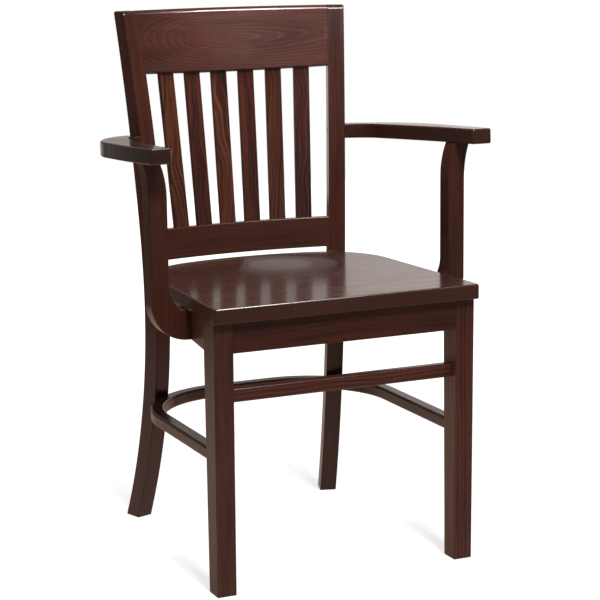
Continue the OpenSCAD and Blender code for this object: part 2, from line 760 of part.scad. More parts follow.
// Groups of identical fasteners

module seat_rail_dowels() color(dowel_wood) both_sides() {
    front_dowels();
    side_front_dowels();
    side_rear_dowels();
    rear_dowels();
}
module back_rail_dowels() color(dowel_wood) both_sides() {
    crest_dowels();
    low_rail_dowels();
}
module stretcher_dowels() color(dowel_wood) both_sides() {
    bar_dowel();
    hoop_dowel();
}
module armrest_dowels() color(dowel_wood) both_sides() {
    arm_root_dowel();
    support_dowel();
}
module armrest_screws() color(steel) both_sides() arm_screw();
module armrest_plugs() color(wood) both_sides() arm_plug();
module arm_support_screws() color(steel) both_sides() support_screws();
module corner_block_screws() color(steel) both_sides() {
    block_screws_front();
    block_screws_side();
    block_screws_rear();
}
module seat_screws() color(steel) seat_screw_set();
module hoop_screws() color(steel) both_sides() hoop_screw();

placed() {
    seat_panel();
    front_seat_rail();
    rear_seat_rail();
    crest_rail();
    lower_back_rail();
    for (s = SIDES) {
        front_leg_piece(s[1]);
        rear_leg_piece(s[1]);
        side_seat_rail(s[1]);
        armrest(s[1]);
        arm_support(s[1]);
        front_corner_block(s[1]);
        rear_corner_block(s[1]);
    }
    for (k = [1:6]) back_slat(k);
    front_stretcher();
    hoop_stretcher();
    seat_rail_dowels();
    back_rail_dowels();
    stretcher_dowels();
    armrest_dowels();
    armrest_screws();
    armrest_plugs();
    arm_support_screws();
    corner_block_screws();
    seat_screws();
    hoop_screws();
}
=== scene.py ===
import math

import bpy
from mathutils import Matrix, Vector


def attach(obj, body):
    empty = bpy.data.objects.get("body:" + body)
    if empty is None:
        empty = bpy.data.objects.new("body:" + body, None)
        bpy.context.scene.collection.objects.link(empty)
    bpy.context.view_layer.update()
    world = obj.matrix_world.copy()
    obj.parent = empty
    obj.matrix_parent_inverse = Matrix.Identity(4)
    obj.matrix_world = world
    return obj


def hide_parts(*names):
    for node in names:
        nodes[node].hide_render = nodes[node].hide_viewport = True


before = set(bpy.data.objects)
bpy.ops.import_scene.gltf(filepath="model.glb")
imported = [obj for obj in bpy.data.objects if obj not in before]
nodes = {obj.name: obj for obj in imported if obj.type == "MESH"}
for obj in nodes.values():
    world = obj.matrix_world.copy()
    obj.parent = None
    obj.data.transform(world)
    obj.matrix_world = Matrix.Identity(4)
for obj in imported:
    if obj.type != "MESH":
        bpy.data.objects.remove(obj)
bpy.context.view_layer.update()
print("frame loaded:", len(nodes), "CAD nodes")

mm = 0.001
nearly = 1e-6
smoothBelow = 35

# the chair's main lines, in millimetres and degrees, as part.scad has them

seat = {"height": 455, "thick": 24, "width": 452, "depth": 419, "nose": 13, "sideLean": 3.05,
        "frontRadius": 6, "cornerRadius": 123, "backRadius": 500,
        "arcGap": 1.5, "topArris": 3.2, "underArris": 1.6}
frontLeg = {"span": 445, "width": 32, "depth": 44, "footDepth": 34, "footRound": 1.5,
            "arris": 1.8}
rearLeg = {"height": 876, "footSpan": 383, "footY": 450, "thick": 29, "footDepth": 33,
           "seatDepth": 34, "topDepth": 27, "turn": 17.5, "splay": 1.15, "bellyHeight": 406,
           "sweepRadius": 1095, "easeHeight": 506, "backRadius": 3830, "arris": 2.2,
           "innerArris": 0.8, "footRound": 1.5, "topRound": 8.5, "topBackRound": 4,
           "topZone": 860, "footZone": 10}
frameRail = {"height": 49, "thick": 22, "frontIn": 1, "sideIn": 2, "arris": 1.5}
frameTop = seat["height"] - seat["thick"]
frameBottom = frameTop - frameRail["height"]


def mix(a, b, share):
    return a + (b - a) * share


def drop(radius, x):
    return radius - math.sqrt(radius * radius - x * x)


def turned(angle, axis):
    return Matrix.Rotation(math.radians(angle), 4, axis)


def moved(x, y, z):
    return Matrix.Translation((x * mm, y * mm, z * mm))


# outlines are lists of points; a point with a third number is a corner of that radius

def rounded(points):
    line = []
    for i, point in enumerate(points):
        if len(point) == 2:
            line.append((point[0], point[1]))
            continue
        corner = Vector(point[:2])
        before = (Vector(points[i - 1][:2]) - corner).normalized()
        after = (Vector(points[(i + 1) % len(points)][:2]) - corner).normalized()
        half = before.angle(after) / 2
        centre = corner + (before + after).normalized() * (point[2] / math.sin(half))
        start = corner + before * (point[2] / math.tan(half)) - centre
        end = corner + after * (point[2] / math.tan(half)) - centre
        sweep = math.remainder(math.atan2(end.y, end.x) - math.atan2(start.y, start.x),
                               2 * math.pi)
        steps = 3 if point[2] < 3 else 6
        for k in range(steps + 1):
            angle = math.atan2(start.y, start.x) + sweep * k / steps
            line.append((centre.x + point[2] * math.cos(angle),
                         centre.y + point[2] * math.sin(angle)))
    return line


def arc(cx, cy, radius, start, end, steps=20):
    angles = [math.radians(mix(start, end, k / steps)) for k in range(steps + 1)]
    return [(cx + radius * math.cos(a), cy + radius * math.sin(a)) for a in angles]


def bezier(p, q, r, s, steps=20):
    line = []
    for k in range(steps + 1):
        t = k / steps
        u = 1 - t
        line.append(tuple(u ** 3 * p[i] + 3 * u * u * t * q[i] + 3 * u * t * t * r[i]
                          + t ** 3 * s[i] for i in (0, 1)))
    return line


# a rectangle with eased corners

def block(left, low, right, top, ease):
    return rounded([(left, low, ease), (right, low, ease), (right, top, ease), (left, top, ease)])


# modelling steps

def freshStart():
    if bpy.context.object and bpy.context.object.mode != "OBJECT":
        bpy.ops.object.mode_set(mode="OBJECT")
    bpy.ops.object.select_all(action="DESELECT")


def only(piece):
    freshStart()
    piece.select_set(True)
    bpy.context.view_layer.objects.active = piece


def pickEdges(piece, test):
    bpy.ops.object.mode_set(mode="OBJECT")
    mesh = piece.data
    spots = [v.co for v in mesh.vertices]
    for group in (mesh.vertices, mesh.edges, mesh.polygons):
        group.foreach_set("select", [False] * len(group))
    for edge in mesh.edges:
        edge.select = test(spots[edge.vertices[0]], spots[edge.vertices[1]])
    bpy.context.tool_settings.mesh_select_mode = (False, True, False)
    bpy.ops.object.mode_set(mode="EDIT")


def outlineFace(name, points, axis):
    freshStart()
    bpy.ops.mesh.primitive_circle_add(vertices=len(points), fill_type="NGON")
    piece = bpy.context.object
    piece.name = name
    for vertex, (u, v) in zip(piece.data.vertices, points):
        spot = [u, v]
        spot.insert(axis, 0)
        vertex.co = Vector(spot) * mm
    return piece


def tidyFaces():
    bpy.ops.mesh.select_all(action="SELECT")
    bpy.ops.mesh.normals_make_consistent(inside=False)
    bpy.ops.object.mode_set(mode="OBJECT")


# a board sawn to an outline: drawn across one axis (0 x, 1 y, 2 z), given its thickness
# along it, and its two rims eased

def sawn(name, points, thick, axis, arrises):
    piece = outlineFace(name, points, axis)
    bpy.ops.object.mode_set(mode="EDIT")
    bpy.ops.mesh.select_all(action="SELECT")
    way = [0, 0, 0]
    way[axis] = thick * mm
    bpy.ops.mesh.extrude_region_move(TRANSFORM_OT_translate={"value": way})
    for level, arris in zip((0, thick * mm), arrises):
        if arris:
            pickEdges(piece, lambda a, b: abs(a[axis] - level) < nearly
                      and abs(b[axis] - level) < nearly)
            bpy.ops.mesh.bevel(offset=arris * mm, segments=4, clamp_overlap=False)
    tidyFaces()
    return piece


def setDown(piece, matrix):
    only(piece)
    piece.matrix_world = matrix
    bpy.ops.object.transform_apply(location=True, rotation=True, scale=True)


# trims a piece at a plane and keeps what lies behind it

def trim(piece, spot, facing):
    only(piece)
    bpy.ops.object.mode_set(mode="EDIT")
    bpy.ops.mesh.select_all(action="SELECT")
    bpy.ops.mesh.bisect(plane_co=spot, plane_no=facing, use_fill=True, clear_outer=True)
    tidyFaces()


# the direction of the grain: metres along, across and through the board at each point; the
# numbers that a rule adds give each board its own stretch of timber

def layGrain(piece, rule):
    layer = piece.data.attributes.new("grain", "FLOAT_VECTOR", "POINT")
    for vertex, value in zip(piece.data.vertices, layer.data):
        value.vector = rule(vertex.co)


def otherSide(piece, name, shift):
    only(piece)
    bpy.ops.object.duplicate(linked=False)
    copy = bpy.context.object
    copy.name = name
    copy.scale = (-1, 1, 1)
    bpy.ops.object.transform_apply(location=True, rotation=True, scale=True)
    bpy.ops.object.mode_set(mode="EDIT")
    tidyFaces()
    for value in copy.data.attributes["grain"].data:
        value.vector = value.vector + Vector(shift)
    return copy


def finished(piece, node, material):
    only(piece)
    bpy.ops.object.shade_smooth_by_angle(angle=math.radians(smoothBelow))
    bpy.ops.object.modifier_add(type="WEIGHTED_NORMAL")
    piece.modifiers[-1].keep_sharp = True
    bpy.ops.object.modifier_apply(modifier=piece.modifiers[-1].name)
    piece.data.materials.clear()
    piece.data.materials.append(material)
    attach(piece, "root")
    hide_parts(node)


# the rear leg's plank: its front edge, its depth, and where its arrises stand

turnCos = math.cos(math.radians(rearLeg["turn"]))
turnSin = math.sin(math.radians(rearLeg["turn"]))
splayTan = math.tan(math.radians(rearLeg["splay"]))
splayCos = math.cos(math.radians(rearLeg["splay"]))
splaySin = math.sin(math.radians(rearLeg["splay"]))


def profileY(z):
    sweep, radius = rearLeg["sweepRadius"], rearLeg["backRadius"]
    if z < rearLeg["easeHeight"]:
        return drop(sweep, z - rearLeg["bellyHeight"])
    easeUp = rearLeg["easeHeight"] - rearLeg["bellyHeight"]
    ease = math.asin(easeUp / sweep)
    centreY = drop(sweep, easeUp) + radius * math.cos(ease)
    centreZ = rearLeg["easeHeight"] - radius * math.sin(ease)
    return centreY - math.sqrt(radius ** 2 - (z - centreZ) ** 2)


def plankDepth(z):
    if z < seat["height"]:
        return mix(rearLeg["footDepth"], rearLeg["seatDepth"], z / seat["height"])
    return mix(rearLeg["seatDepth"], rearLeg["topDepth"],
               (z - seat["height"]) / (rearLeg["height"] - seat["height"]))


plankA = -rearLeg["footSpan"] / 2 * turnCos + rearLeg["footY"] * turnSin
plankB = rearLeg["footSpan"] / 2 * turnSin + rearLeg["footY"] * turnCos - profileY(0)


def fromLeg(a, b):
    return (a * turnCos - b * turnSin, a * turnSin + b * turnCos)


def legA(z):
    return plankA - z * splayTan


def outerArris(z):
    return fromLeg(legA(z), plankB + profileY(z / splayCos))


def innerArris(z, back=0):
    level = (z - rearLeg["thick"] * splaySin) / splayCos
    return fromLeg(legA(z) + rearLeg["thick"] / splayCos,
                   plankB + profileY(level) + back * plankDepth(level))


midY = (innerArris(0, back=1)[1] - seat["nose"]) / 2
chair = moved(0, -midY, 0)
inLeg = chair @ turned(rearLeg["turn"], "Z")
plankFacing = (turned(rearLeg["turn"], "Z") @ turned(-rearLeg["splay"], "Y")) @ Vector((1, 0, 0))
innerFaceSpot = inLeg @ Vector(((plankA + rearLeg["thick"] / splayCos) * mm, 0, 0))
outerFaceSpot = inLeg @ Vector((plankA * mm, 0, 0))


def mirrored(vector):
    return Vector((-vector.x, vector.y, vector.z))


def trimBetweenPosts(piece):
    trim(piece, innerFaceSpot, -plankFacing)
    trim(piece, mirrored(innerFaceSpot), -mirrored(plankFacing))


# shader trees: a socket that is named gets its value, or a link where the value is a socket

def shaderTools(tree):
    tree.nodes.clear()

    def node(kind, sockets=(), **settings):
        made = tree.nodes.new(kind)
        for key, value in settings.items():
            setattr(made, key, value)
        for key, value in dict(sockets).items():
            if isinstance(value, bpy.types.NodeSocket):
                tree.links.new(value, made.inputs[key])
            else:
                made.inputs[key].default_value = value
        return made

    def ramp(source, stops):
        made = node("ShaderNodeValToRGB", {"Fac": source})
        while len(made.color_ramp.elements) < len(stops):
            made.color_ramp.elements.new(0.5)
        for element, (position, tone) in zip(made.color_ramp.elements, stops):
            element.position = position
            element.color = (*tone, 1) if isinstance(tone, tuple) else (tone,) * 3 + (1,)
        return made.outputs["Color"]

    def spread(source, low, high, least=0.0, most=1.0, kind="LINEAR"):
        return node("ShaderNodeMapRange", {
            "Value": source, "From Min": low, "From Max": high, "To Min": least, "To Max": most},
            interpolation_type=kind).outputs["Result"]

    def maths(operation, a, b):
        return node("ShaderNodeMath", {0: a, 1: b}, operation=operation).outputs["Value"]

    return node, ramp, spread, maths


def newMaterial(name):
    material = bpy.data.materials.new(name)
    material.use_nodes = True
    return material, *shaderTools(material.node_tree)


# wood: stained boards whose figure follows the grain laid on each piece; these values hold
# where a board's own look names no other

usual = {"onNode": False, "lie": (0, 0, 0), "wander": 0.012, "ringKind": "X", "ringCount": 1.0,
         "ringWarp": 2.0, "ringDetail": 0.8, "ringEdge": 0.72, "ringTail": None, "lineFade": 0.4,
         "ringShift": (0, 0, 0), "ringTurn": (0, 0, 0), "cloudScale": (3.2, 11, 11),
         "cloudLow": 0.36, "cloudTop": 0.66, "even": 0.0, "fibre": 0.5, "pores": 0.4,
         "poreTone": (0.35, 0.32, 0.3), "paintedShadeAlong": None, "wear": 0.25, "wearWidth": 0.003,
         "bare": (0.20, 0.085, 0.045), "gloss": 0.27, "glossBelow": 0.05, "glossAbove": 0.09,
         "swell": 0.3, "swellHeight": 0.0006, "grainDepth": 0.35, "grainHeight": 0.00012,
         "coat": 0.4, "coatRough": 0.14, "ior": 1.5}


def woodMaterial(name, ownLook):
    look = {**usual, **ownLook}
    material, node, ramp, spread, maths = newMaterial(name)

    def blend(kind, amount, a, b):
        filled = [(*value, 1) if isinstance(value, tuple) else value for value in (amount, a, b)]
        return node("ShaderNodeMix", dict(zip((0, 6, 7), filled)), data_type="RGBA",
                    blend_type=kind).outputs[2]

    def lessened(source, share):
        return blend("MULTIPLY", 1.0, source, (share,) * 3)

    def stretched(source, scale, location=(0, 0, 0), rotation=(0, 0, 0)):
        return node("ShaderNodeMapping", {
            "Vector": source, "Scale": scale, "Location": location,
            "Rotation": tuple(math.radians(angle) for angle in rotation)}).outputs["Vector"]

    def noise(source, scale, detail=4, rough=0.55, warp=0.0):
        return node("ShaderNodeTexNoise", {
            "Vector": source, "Scale": scale, "Detail": detail, "Roughness": rough,
            "Distortion": warp}).outputs["Fac"]

    if look["onNode"]:
        place = stretched(node("ShaderNodeTexCoord").outputs["Object"], (1, 1, 1),
                          rotation=look["lie"])
    else:
        place = node("ShaderNodeAttribute", attribute_name="grain").outputs["Vector"]

    # the grain wanders a little off the board's line
    drift = spread(noise(stretched(place, (4.5, 8, 8), (5.1, 0, 0)), 1.0, 2, 0.5), 0, 1,
                   -look["wander"], look["wander"])
    aside = node("ShaderNodeCombineXYZ", {"Y": drift})
    place = node("ShaderNodeVectorMath", {0: place, 1: aside.outputs["Vector"]},
                 operation="ADD").outputs["Vector"]

    # growth rings, cut where the board was sawn
    ringPlace = stretched(place, look["ringScale"], look["ringShift"], look["ringTurn"])
    if look["ringTail"]:
        # rings drawn out to one side of the heart of the figure
        parts = node("ShaderNodeSeparateXYZ", {"Vector": ringPlace}).outputs
        nearer = maths("MINIMUM", parts["X"], maths("MULTIPLY", parts["X"], look["ringTail"]))
        ringPlace = node("ShaderNodeCombineXYZ", {
            "X": nearer, "Y": parts["Y"], "Z": parts["Z"]}).outputs["Vector"]
    rings = node("ShaderNodeTexWave", {
        "Vector": ringPlace, "Scale": look["ringCount"], "Distortion": look["ringWarp"],
        "Detail": 3.0, "Detail Scale": look["ringDetail"], "Detail Roughness": 0.45},
        wave_type="RINGS", rings_direction=look["ringKind"])
    ringLine = ramp(rings.outputs["Fac"], [(0.0, 0.0), (look["ringEdge"], 0.0), (0.93, 1.0),
                                           (1.0, 0.6)])
    fade = ramp(noise(stretched(place, (7, 30, 30), (0.3, 2.1, 0)), 1.4, 2, 0.5),
                [(0.38, 1 - look["lineFade"]), (0.6, 1.0)])
    ringLine = blend("MULTIPLY", 1.0, ringLine, fade)

    streak = ramp(noise(stretched(place, (2.2, 70, 70)), 1.6, 6, 0.6, 0.4),
                  [(0.34, 0.0), (0.68, 1.0)])
    cloud = ramp(noise(stretched(place, look["cloudScale"], (1.7, 0.4, 0)), 1.5, 3, 0.5, 0.6),
                 [(look["cloudLow"], 0.0), (look["cloudTop"], 1.0)])
    fibre = noise(stretched(place, (14, 620, 620)), 1.0, 3, 0.6)
    pores = ramp(noise(stretched(place, (36, 1500, 1500)), 1.0, 2, 0.5),
                 [(0.30, 1.0), (0.42, 0.0)])

    flow = blend("MIX", look["even"], streak, (0.5,) * 3)
    colour = blend("MIX", flow, look["dark"], look["mid"])
    colour = blend("MIX", lessened(cloud, look["cloud"]), colour, look["warm"])
    colour = blend("MIX", lessened(ringLine, look["line"]), colour, look["light"])
    colour = blend("MULTIPLY", look["fibre"], colour, ramp(fibre, [(0.25, 0.62), (0.7, 1.18)]))
    colour = blend("MULTIPLY", lessened(pores, look["pores"]), colour, look["poreTone"])

    if look["paintedShadeAlong"]:
        # painted shade: the colour darkens from one end of the board to the other, standing in
        # for light that falls off along it
        begin, end, least = look["paintedShadeAlong"]
        along = node("ShaderNodeSeparateXYZ", {"Vector": place}).outputs["X"]
        colour = blend("MULTIPLY", 1.0, colour,
                       spread(along, begin, end, least, kind="SMOOTHSTEP"))

    # rubbed arrises, where the stain has gone thin
    soft = node("ShaderNodeBevel", {"Radius": look["wearWidth"]}, samples=4)
    facing = node("ShaderNodeNewGeometry")
    turnOff = node("ShaderNodeVectorMath", {0: soft.outputs["Normal"],
                                            1: facing.outputs["Normal"]},
                   operation="DOT_PRODUCT")
    rub = ramp(turnOff.outputs["Value"], [(0.86, 1.0), (0.97, 0.0)])
    patch = ramp(noise(stretched(place, (26, 60, 60)), 1.0, 4, 0.6), [(0.42, 0.0), (0.62, 1.0)])
    rub = lessened(blend("MULTIPLY", 1.0, rub, patch), look["wear"])
    colour = blend("MIX", rub, colour, look["bare"])

    # satin lacquer over the open grain
    roughness = ramp(noise(stretched(place, (5, 40, 40)), 1.3, 4, 0.6),
                     [(0.3, look["gloss"] - look["glossBelow"]),
                      (0.7, look["gloss"] + look["glossAbove"])])
    wave = noise(stretched(place, (9, 34, 34)), 1.0, 3, 0.5)
    swell = node("ShaderNodeBump", {"Height": wave, "Strength": look["swell"],
                                    "Distance": look["swellHeight"]}).outputs["Normal"]
    grainBump = node("ShaderNodeBump", {
        "Height": fibre, "Normal": swell, "Strength": look["grainDepth"],
        "Distance": look["grainHeight"]}).outputs["Normal"]

    shader = node("ShaderNodeBsdfPrincipled", {
        "Base Color": colour, "Roughness": roughness, "IOR": look["ior"], "Normal": grainBump,
        "Coat Weight": look["coat"], "Coat Roughness": look["coatRough"],
        "Coat IOR": look["ior"], "Coat Normal": swell})
    node("ShaderNodeOutputMaterial", {"Surface": shader.outputs["BSDF"]})
    return material


plain = {"dark": (0.036, 0.0105, 0.0078), "mid": (0.080, 0.0205, 0.0135),
         "warm": (0.105, 0.0260, 0.0150), "cloud": 0.5, "light": (0.150, 0.0430, 0.0250),
         "line": 0.22, "ringScale": (0.25, 46, 46), "ringShift": (0, 0.9, 0.7),
         "ringTurn": (0, 0, 1.2), "ringWarp": 2.2, "even": 0.2, "swell": 0.2,
         "grainDepth": 0.25}
legWood = woodMaterial("stainedLegWood", {**plain, "mid": (0.096, 0.0320, 0.0225),
                                          "warm": (0.110, 0.0330, 0.0215)})
rightLegWood = woodMaterial("stainedRightLegWood", {
    **plain, "mid": (0.116, 0.0390, 0.0280), "line": 0.45, "light": (0.22, 0.066, 0.042)})
postLook = {**plain, "mid": (0.092, 0.0218, 0.0136), "gloss": 0.20, "coatRough": 0.09,
            "wear": 0.6, "bare": (0.13, 0.045, 0.030)}
# painted shade: each post darkens towards its foot, where it stands under the seat; the right
# post more so
postWood = woodMaterial("stainedPostWood", {**postLook, "paintedShadeAlong": (1.3, 1.72, 0.72)})
rightPostWood = woodMaterial("stainedRightPostWood", {**postLook, "paintedShadeAlong": (3.2, 3.62, 0.5)})
railWood = woodMaterial("stainedRailWood", {**plain, "even": 0.4})
supportWood = woodMaterial("stainedSupportWood", {**plain, "mid": (0.090, 0.0240, 0.0150),
                                                  "even": 0.4, "wear": 0.1})
armLook = {**plain, "gloss": 0.25, "even": 0.5, "dark": (0.020, 0.0105, 0.0068),
           "mid": (0.038, 0.0180, 0.0110), "warm": (0.056, 0.0230, 0.0130),
           "light": (0.075, 0.034, 0.020), "fibre": 0.25, "pores": 0.15, "swell": 0.1,
           "grainDepth": 0.1}
armWood = woodMaterial("stainedArmWood", armLook)
rightArmWood = woodMaterial("stainedRightArmWood", {
    **armLook, "dark": (0.032, 0.0130, 0.0090), "mid": (0.060, 0.0225, 0.0160),
    "warm": (0.075, 0.0260, 0.0170)})
barWood = woodMaterial("stainedBarWood", {**plain, "mid": (0.135, 0.0370, 0.0240),
                                          "light": (0.27, 0.100, 0.055), "line": 0.4})
hoopWood = woodMaterial("stainedHoopWood", {**plain, "mid": (0.100, 0.0440, 0.0330),
                                            "dark": (0.042, 0.0180, 0.0140)})

# seat

leanTan = math.tan(math.radians(seat["sideLean"]))
archY = seat["depth"] - seat["nose"] - seat["backRadius"]
cornerReach = seat["backRadius"] - seat["cornerRadius"]
sideCut = (seat["width"] / 2 - seat["cornerRadius"] / math.cos(math.radians(seat["sideLean"]))
           - (archY + seat["nose"]) * leanTan)
rise = ((2 * sideCut * leanTan
         + math.sqrt(4 * sideCut ** 2 * leanTan ** 2
                     - 4 * (1 + leanTan ** 2) * (sideCut ** 2 - cornerReach ** 2)))
        / (2 * (1 + leanTan ** 2)))
cornerX = sideCut - leanTan * rise
archEnd = math.degrees(math.atan2(rise, cornerX))
frontX = seat["width"] / 2 - seat["frontRadius"] * (1 + leanTan)
# the back's arc starts a little after the end of the corner's arc
seatHalf = (arc(frontX, seat["frontRadius"] - seat["nose"], seat["frontRadius"],
                -90, seat["sideLean"], 6)
            + arc(cornerX, archY + rise, seat["cornerRadius"], seat["sideLean"], archEnd, 24)
            + arc(0, archY, seat["backRadius"], archEnd + seat["arcGap"], 90))
seatLine = seatHalf + [(-x, y) for x, y in reversed(seatHalf[:-1])]
seatWood = woodMaterial("stainedSeatWood", {
    **plain, "dark": (0.034, 0.0125, 0.0090), "mid": (0.066, 0.0255, 0.0175),
    "warm": (0.080, 0.0270, 0.0180), "cloud": 0.7, "line": 0.05, "even": 0.8, "fibre": 0.25,
    "pores": 0.1, "gloss": 0.24, "coat": 0.8, "coatRough": 0.13, "swell": 0.05,
    "grainDepth": 0.08})
seatPanel = sawn("seatPanel", seatLine, seat["thick"], 2, (seat["underArris"], seat["topArris"]))
layGrain(seatPanel, lambda p: (p.x + 3.1, p.y, p.z))
setDown(seatPanel, chair @ moved(0, 0, frameTop))
finished(seatPanel, "seat_panel", seatWood)
print("seat made")

# front legs

taper = (frontLeg["depth"] - frontLeg["footDepth"]) / 2
spanHalf = frontLeg["span"] / 2
betweenLegs = frontLeg["span"] - 2 * frontLeg["width"]
legLeft = sawn("frontLegLeft", rounded([
    (taper, 0, frontLeg["footRound"]), (frontLeg["depth"] - taper, 0, frontLeg["footRound"]),
    (frontLeg["depth"], frameTop), (0, frameTop)]),
    frontLeg["width"], 0, (frontLeg["arris"], frontLeg["arris"]))
layGrain(legLeft, lambda p: (p.z + 0.4, p.x, p.y))
setDown(legLeft, chair @ moved(-spanHalf, 0, 0))
legRight = otherSide(legLeft, "frontLegRight", (2.3, 0.4, 0.2))
finished(legLeft, "front_leg_left", legWood)
finished(legRight, "front_leg_right", rightLegWood)

# rear legs and back posts, one plank each

plankSteps = 44
heights = [mix(0, rearLeg["height"], k / plankSteps) for k in range(plankSteps + 1)]
topY = profileY(rearLeg["height"])
topBack = topY + plankDepth(rearLeg["height"])
plankLine = rounded(
    [(profileY(0), 0, rearLeg["footRound"])] + [(profileY(z), z) for z in heights[1:-1]]
    + [(topY, rearLeg["height"], rearLeg["topRound"]),
       (topBack, rearLeg["height"], rearLeg["topBackRound"])]
    + [(profileY(z) + plankDepth(z), z) for z in reversed(heights[1:-1])]
    + [(profileY(0) + plankDepth(0), 0, rearLeg["footRound"])])
postLeft = sawn("rearLegLeft", plankLine, rearLeg["thick"], 0,
                (rearLeg["arris"], rearLeg["innerArris"]))
# the plank's ends are cut level, though it leans
endRise = (rearLeg["height"] / splayCos - rearLeg["height"]) * mm
for vertex in postLeft.data.vertices:
    endLean = vertex.co.x * splayTan
    if vertex.co.z > rearLeg["topZone"] * mm:
        vertex.co.z += endRise - endLean
    if vertex.co.z < rearLeg["footZone"] * mm:
        vertex.co.z -= endLean
layGrain(postLeft, lambda p: (p.z + 1.3, p.x, p.y - profileY(p.z / mm) * mm))
setDown(postLeft, inLeg @ moved(plankA, plankB, 0) @ turned(-rearLeg["splay"], "Y"))
postRight = otherSide(postLeft, "rearLegRight", (1.9, 0.7, 0.1))
finished(postLeft, "rear_leg_left", postWood)
finished(postRight, "rear_leg_right", rightPostWood)
print("legs made")

# aprons under the seat; the side and rear ones keep their CAD form

railFront, railBack = frameRail["frontIn"], frameRail["frontIn"] + frameRail["thick"]
railLine = rounded([(railFront, frameBottom, frameRail["arris"]),
                    (railBack, frameBottom, frameRail["arris"]),
                    (railBack, frameTop), (railFront, frameTop)])
frontRail = sawn("frontSeatRail", railLine, betweenLegs, 0, (0, 0))
layGrain(frontRail, lambda p: (p.x + 5.2, p.z - 0.4, p.y))
setDown(frontRail, chair @ moved(-betweenLegs / 2, 0, 0))
finished(frontRail, "front_seat_rail", railWood)

# bowed rails of the back: a section spun about the bow's centre, past the posts by the
# overrun, and trimmed by them

overrun = 34


def boardPlan(z0, z1, bow, thick):
    reach = -innerArris(z0)[0]
    reachTop = -innerArris(z1)[0]
    radius = (reach ** 2 + bow ** 2) / (2 * bow)
    back = innerArris(z1)[1] - innerArris(z0)[1] + drop(radius, reachTop) - drop(radius, reach)
    lean = math.atan(back / (z1 - z0))
    return {"z": z0, "y": innerArris(z0)[1], "lean": lean, "radius": radius, "bow": bow,
            "thick": thick, "height": (z1 - z0) / math.cos(lean), "reachTop": reachTop}


def boardMatrix(plan):
    return chair @ moved(0, plan["y"], plan["z"]) @ Matrix.Rotation(-plan["lean"], 4, "X")


def onBoard(plan, x, inside, up):
    y = plan["bow"] - drop(plan["radius"], x) + inside
    c, s = math.cos(plan["lean"]), math.sin(plan["lean"])
    return Vector((x, plan["y"] + y * c + up * s, plan["z"] - y * s + up * c))


def bowedRail(name, plan, rounds, crown, shift):
    radius, thick, height = plan["radius"], plan["thick"], plan["height"]
    section = rounded([(radius, 0, rounds[0]), (radius + thick, 0, rounds[1]),
                       (radius + thick, height, rounds[2]), (radius, height, rounds[3])])
    piece = outlineFace(name, section, 1)
    sweep = math.asin((plan["reachTop"] + overrun) / radius)
    centre = Vector((0, (plan["bow"] - radius) * mm, 0))
    setDown(piece, Matrix.Translation(centre) @ Matrix.Rotation(math.pi / 2 - sweep, 4, "Z"))
    bpy.ops.object.mode_set(mode="EDIT")
    bpy.ops.mesh.select_all(action="SELECT")
    bpy.ops.mesh.spin(steps=56, angle=-2 * sweep, center=centre, axis=(0, 0, 1))
    tidyFaces()
    if crown:
        crownHalf = plan["reachTop"] + rearLeg["thick"]
        crownRadius = (crownHalf ** 2 + crown ** 2) / (2 * crown)
        for vertex in piece.data.vertices:
            if vertex.co.z > height / 2 * mm:
                x = min(abs(vertex.co.x) / mm, crownHalf)
                vertex.co.z += (crown - drop(crownRadius, x)) * mm
    layGrain(piece, lambda p: (
        math.atan2(p.x, p.y - centre.y) * radius * mm + shift, p.z,
        math.hypot(p.x, p.y - centre.y) - radius * mm))
    setDown(piece, boardMatrix(plan))
    trimBetweenPosts(piece)
    return piece


crest = {"height": 101, "thick": 26, "bow": 21, "crown": 6, "rounds": (2, 2, 4, 8.5)}
crestPlan = boardPlan(rearLeg["height"] - crest["height"], rearLeg["height"], crest["bow"],
                      crest["thick"])
# painted shade: the crest darkens towards its left end, where less light is reflected from it
crestWood = woodMaterial("figuredCrestWood", {
    "dark": (0.048, 0.0130, 0.0090), "mid": (0.112, 0.0290, 0.0185),
    "warm": (0.148, 0.0390, 0.0240), "cloud": 0.6, "light": (0.23, 0.080, 0.050), "line": 0.55,
    "lineFade": 0.8, "paintedShadeAlong": (-0.24, -0.03, 0.58),
    "ringKind": "SPHERICAL", "ringScale": (20, 66, 10), "ringShift": (0.47, -3.65, 0),
    "ringCount": 0.95, "ringWarp": 3.4, "ringDetail": 1.25, "ringEdge": 0.82, "ringTail": 0.36,
    "even": 0.55, "gloss": 0.20, "coat": 0.5, "coatRough": 0.09, "wander": 0.0})
crestRail = bowedRail("crestRail", crestPlan, crest["rounds"], crest["crown"], 0)
finished(crestRail, "crest_rail", crestWood)

lowRail = {"gap": 8, "height": 52, "thick": 21, "bow": 26.5, "rounds": (2, 2, 2, 2)}
lowZ = seat["height"] + lowRail["gap"]
lowPlan = boardPlan(lowZ, lowZ + lowRail["height"], lowRail["bow"], lowRail["thick"])
lowWood = woodMaterial("stainedLowRailWood", {**plain, "mid": (0.088, 0.0250, 0.0155),
                                              "even": 0.5})
lowerRail = bowedRail("lowerBackRail", lowPlan, lowRail["rounds"], 0, 7.7)
finished(lowerRail, "lower_back_rail", lowWood)
print("bowed rails made")

# six slats from the lower rail up to the crest, each of its own tone

